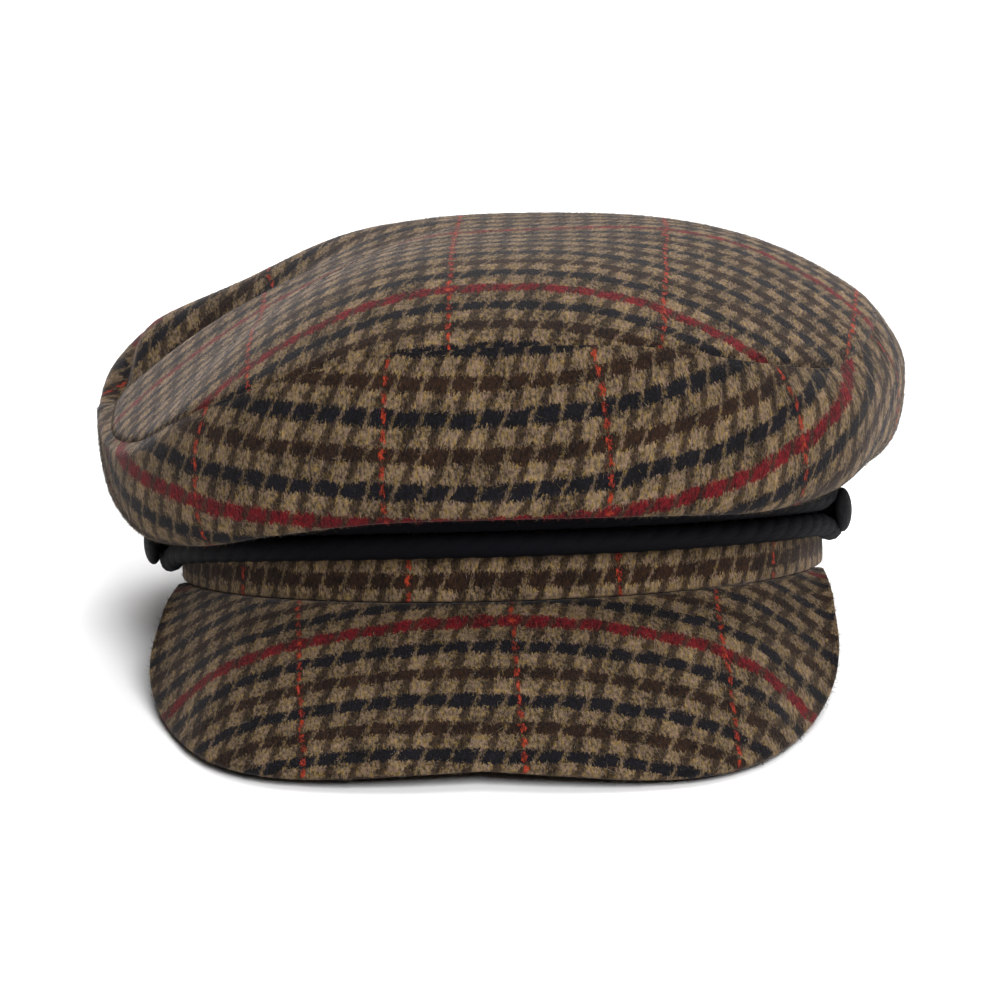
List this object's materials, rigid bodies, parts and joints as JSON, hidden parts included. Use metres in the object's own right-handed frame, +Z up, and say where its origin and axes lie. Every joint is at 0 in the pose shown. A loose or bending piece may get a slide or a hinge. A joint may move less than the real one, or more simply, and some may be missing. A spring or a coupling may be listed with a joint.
{
  "type": "sailor cap",
  "caption": "Sailor cap in brown houndstooth tweed: soft overhanging crown, head band, fabric-covered peak, twisted black cord looped on black side buttons.",
  "frame": {"origin": "centre of the bounding box in plan, on the floor that the cap lies on", "axes": "+Y to the back of the cap, +X to the viewer's right when the peak faces the viewer, +Z up"},
  "size_m": [0.235, 0.2698, 0.1207],
  "materials": {
    "top_tweed": "matte",
    "front_tweed": "matte",
    "back_tweed": "matte",
    "band_tweed": "matte",
    "peak_tweed": "matte",
    "black_cord": "satin",
    "left_button": "satin",
    "right_button": "satin"
  },
  "bodies": {
    "root": {"crown_top": "top_tweed", "crown_front": "front_tweed", "crown_back": "back_tweed", "band": "band_tweed", "peak": "peak_tweed", "cord": "black_cord", "button_left": "left_button", "button_right": "right_button"}
  },
  "joints": []
}
